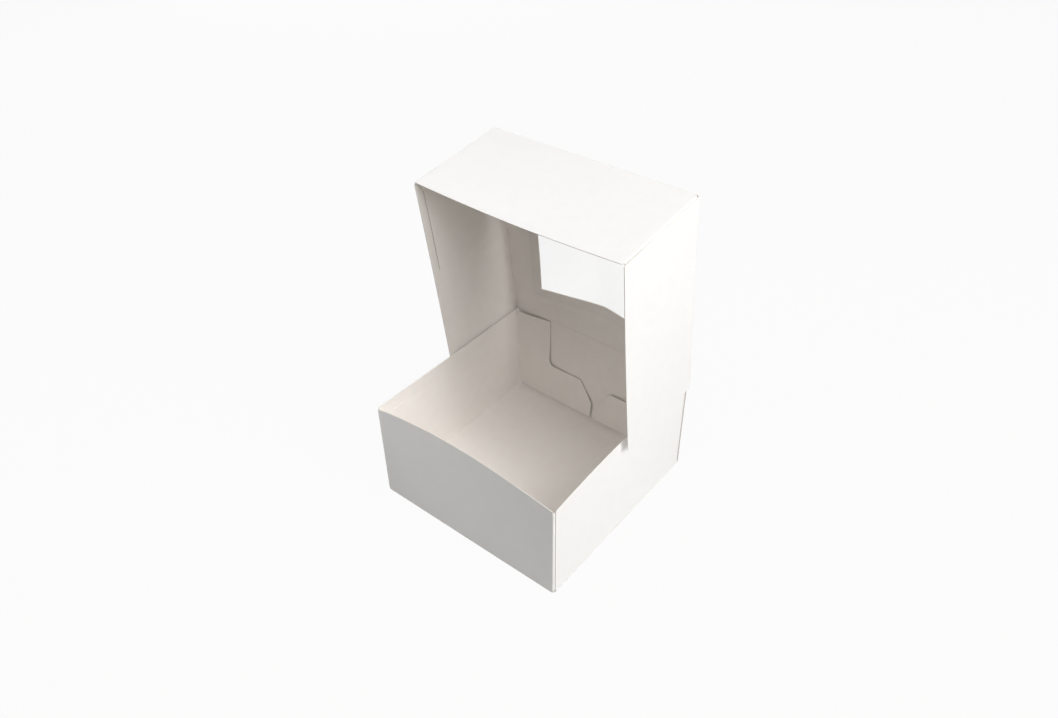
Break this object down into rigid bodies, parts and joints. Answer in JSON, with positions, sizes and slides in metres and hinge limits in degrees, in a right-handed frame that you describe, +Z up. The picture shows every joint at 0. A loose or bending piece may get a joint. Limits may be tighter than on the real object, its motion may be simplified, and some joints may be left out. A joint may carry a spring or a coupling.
{
  "type": "windowed bakery box",
  "caption": "Square folded card bakery box: an open tray with a deep lid hinged along the back, and a large clear film window in the lid.",
  "frame": {"origin": "middle of the tray's underside, on the surface that the box stands on", "axes": "+X to the right across the front, +Y from the front to the hinge at the back, +Z up"},
  "size_m": [0.1574, 0.1589, 0.2343],
  "materials": {
    "card": "matte",
    "film": "gloss"
  },
  "bodies": {
    "tray": {"tray": "card"},
    "lid": {"lid": "card", "window_film": "film"}
  },
  "joints": [
    {"name": "lid_hinge", "type": "hinge", "parent": "tray", "child": "lid", "pos_m": [0, 0.0765, 0.0783], "axis": [1, 0, 0], "range_deg": [-97, 83]}
  ]
}
